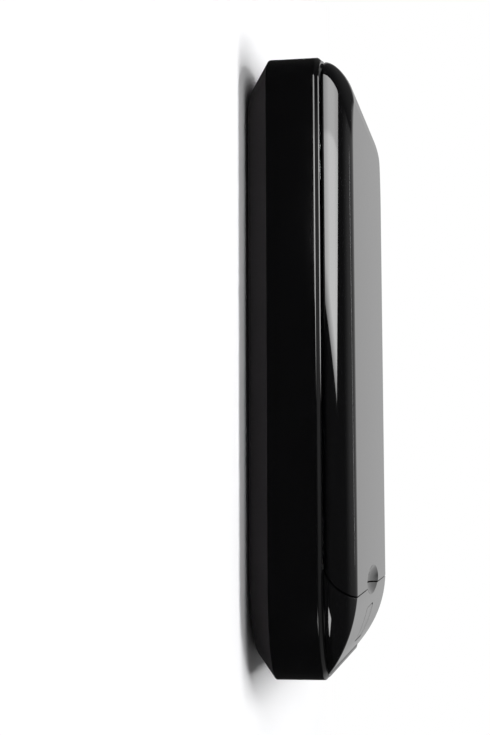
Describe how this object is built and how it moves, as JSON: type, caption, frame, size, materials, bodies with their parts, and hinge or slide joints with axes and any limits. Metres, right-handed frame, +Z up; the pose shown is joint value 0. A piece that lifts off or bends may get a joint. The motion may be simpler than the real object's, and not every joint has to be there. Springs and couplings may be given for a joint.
{
  "type": "uv sanitizer box for phones",
  "caption": "Gloss black ultraviolet sanitizer box for a phone, with a hinged pillow lid, a fixed sloping hood that carries a push button, and a charcoal bevelled underside.",
  "frame": {"origin": "middle of the footprint, on the plane the rubber feet stand on", "axes": "+X along the box to the hood end, +Y across the box, +Z up"},
  "size_m": [0.22, 0.107, 0.0388],
  "materials": {
    "gloss_black": "high gloss, piano black",
    "button_black": "gloss black",
    "charcoal_plastic": "fine satin grain",
    "pale_plastic": "fine satin",
    "dark_plastic": "satin",
    "mirror_sheet": "bright rolled sheet",
    "board_green": "solder mask",
    "lamp_body": "ceramic, satin",
    "clear_glass": "polished",
    "steel": "zinc plated",
    "magnet": "nickel plated",
    "wire_black": "soft sleeve",
    "rubber": "matte"
  },
  "bodies": {
    "root": {"bottom_cover": "charcoal_plastic", "body_shell": "gloss_black", "front_hood": "gloss_black", "chamber_tray": "pale_plastic", "base_reflector": "mirror_sheet", "phone_rests": "dark_plastic", "base_led_board": "board_green", "base_uvc_leds": "lamp_body", "base_windows": "clear_glass", "led_board_screws": "steel", "main_board": "board_green", "control_chip": "dark_plastic", "board_screws": "steel", "usb_board": "board_green", "usb_socket": "steel", "wire_loom": "wire_black", "button_board": "board_green", "button_board_screws": "steel", "tact_switch": "dark_plastic", "lid_sensor": "dark_plastic", "base_magnets": "magnet", "hinge_pins": "steel", "cover_screws": "steel", "rubber_feet": "rubber"},
    "lid": {"lid_shell": "gloss_black", "lid_liner": "pale_plastic", "lid_reflector": "mirror_sheet", "lid_led_board": "board_green", "lid_uvc_leds": "lamp_body", "lid_windows": "clear_glass", "lid_board_screws": "steel", "lid_magnets": "magnet", "lid_screws": "steel"},
    "button": {"power_button": "button_black", "switch_plunger": "dark_plastic"}
  },
  "joints": [
    {"name": "lid_hinge", "type": "hinge", "parent": "root", "child": "lid", "pos_m": [-0.1036, 0, 0.0317], "axis": [0, -1, 0], "range_deg": [0, 95]},
    {"name": "button_press", "type": "slide", "parent": "root", "child": "button", "axis": [-0.3548, 0, -0.9349], "range_m": [0, 0.0008], "stiffness_N_per_m": 400}
  ]
}
